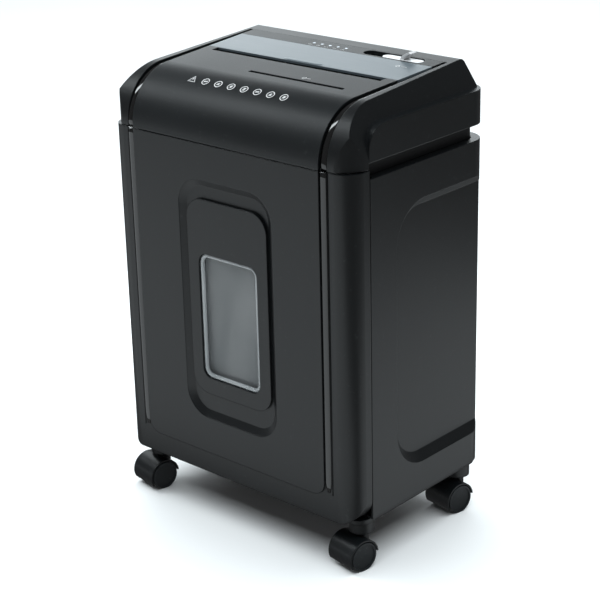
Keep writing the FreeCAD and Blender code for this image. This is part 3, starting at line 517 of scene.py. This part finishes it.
# flat bands on the sloping top: height rises with y at the top's own slope
def addTopMarks():
    points, faces = [], []
    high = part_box("control_strip")[1]
    below, above = -topMarks["below"], topMarks["above"]

    def put(outline, width):
        start = sum(len(p) for p in points)
        centre = outline.mean(0)
        out = outline - centre
        inner = outline - out / np.linalg.norm(out, axis=1, keepdims=True) * width
        rings = [(outline, below), (outline, above), (inner, above), (inner, below)]
        for ring, lift in rings:
            z = high.z + (ring[:, 1] - high.y) * headTop["slope"] + lift
            points.append(np.stack([ring[:, 0], ring[:, 1], z], -1))
        faces.extend([[i + start for i in loop] for loop in gridFaces(4, len(outline), wrapRows=True)])

    for x, y, r in topMarks["ring"]:
        put(ringOutline(r, 28) + np.array([x, y]), topMarks["ringLine"])
    tall = topMarks["barHalf"]
    for x, y, half in topMarks["bar"]:
        corners = np.array([(-half, -tall), (half, -tall), (half, tall), (-half, tall)])
        put(polygonOutline(corners + np.array([x, y]), 3), topMarks["barLine"])
    newPiece("top_marks", np.concatenate(points), faces, "cabinet", "lamp_plastic", "mark_ink", False)


addTopMarks()
print("marks and tab built")


# studio: pale floor, a large light over it, and reflector cards round the machine.
# Each card: where it stands, what it faces, its size, its brightness, and whether gloss mirrors it.
studio = {
    "floorTone": 0.82, "floorSpan": 40.0, "surround": 0.14, "lightColour": (0.9, 0.97, 1.0),
    "cards": {
        "overheadLight": ((0, 0, 4), (0, 0, 0), (7, 7), 3.3, False),
        "frontCard": ((-0.75, -1.0, 0.002), (-0.75, -1.0, 1), (2.3, 1.6), 0.8, True),
        "sideCard": ((0.45, 0.32, 0.002), (0.45, 0.32, 1), (0.5, 0.8), 0.75, True),
        "skyCard": ((-0.5, 0.52, 0.6), (0.02, 0.06, 0.49), (1.3, 0.42), 2.3, True),
        "curveCard": ((-1.46, -0.75, 1.98), (0, -0.09, 0.46), (0.28, 1.3), 8.0, True),
    },
}


# brightness is the card's radiance, so its power is that times pi times its area
def softBox(name, spot, target, size, brightness, mirrored):
    light = bpy.data.lights.new(name, "AREA")
    light.shape = "RECTANGLE"
    light.size, light.size_y = size
    light.color = studio["lightColour"]
    light.energy = brightness * math.pi * size[0] * size[1]
    obj = bpy.data.objects.new(name, light)
    bpy.context.scene.collection.objects.link(obj)
    obj.location = spot
    obj.rotation_mode = "QUATERNION"
    obj.rotation_quaternion = (Vector(target) - Vector(spot)).to_track_quat("-Z", "Y")
    obj.visible_camera = False
    obj.visible_glossy = mirrored


for name, card in studio["cards"].items():
    softBox(name, *card)
world = bpy.data.worlds.new("surround")
bpy.context.scene.world = world
world.use_nodes = True
world.node_tree.nodes["Background"].inputs["Color"].default_value = (0.96, 0.98, 1, 1)
world.node_tree.nodes["Background"].inputs["Strength"].default_value = studio["surround"]


def addFloor():
    span = studio["floorSpan"]
    points = [(-span, -span, 0), (span, -span, 0), (span, span, 0), (-span, span, 0)]
    mesh = bpy.data.meshes.new("floor")
    mesh.from_pydata(points, [], [(0, 1, 2, 3)])
    obj = bpy.data.objects.new("floor", mesh)
    bpy.context.scene.collection.objects.link(obj)
    s = Shader("paleFloor")
    mottle = s.noise(3, 2.0)
    colour = s.mixed(mottle, tone(studio["floorTone"]), tone(studio["floorTone"] * 1.05))
    obj.data.materials.append(s.finish({"Base Color": colour, "Roughness": 0.7}))
    obj.visible_glossy = False


addFloor()
bpy.context.scene.view_settings.view_transform = "Standard"
print("studio set")

camera = {"spot": (1.149, -1.271, 0.893), "target": (0.001, -0.002, 0.231), "roll": -1.4, "lens": 103.4}


def addCamera():
    data = bpy.data.cameras.new("camera")
    data.sensor_width = 36
    data.lens = camera["lens"]
    data.dof.use_dof = False
    obj = bpy.data.objects.new("camera", data)
    bpy.context.scene.collection.objects.link(obj)
    look = Vector(camera["target"]) - Vector(camera["spot"])
    turn = look.to_track_quat("-Z", "Y").to_matrix() @ Matrix.Rotation(math.radians(camera["roll"]), 3, "Z")
    obj.rotation_mode = "QUATERNION"
    obj.rotation_quaternion = turn.to_quaternion()
    obj.location = camera["spot"]
    bpy.context.scene.camera = obj


addCamera()
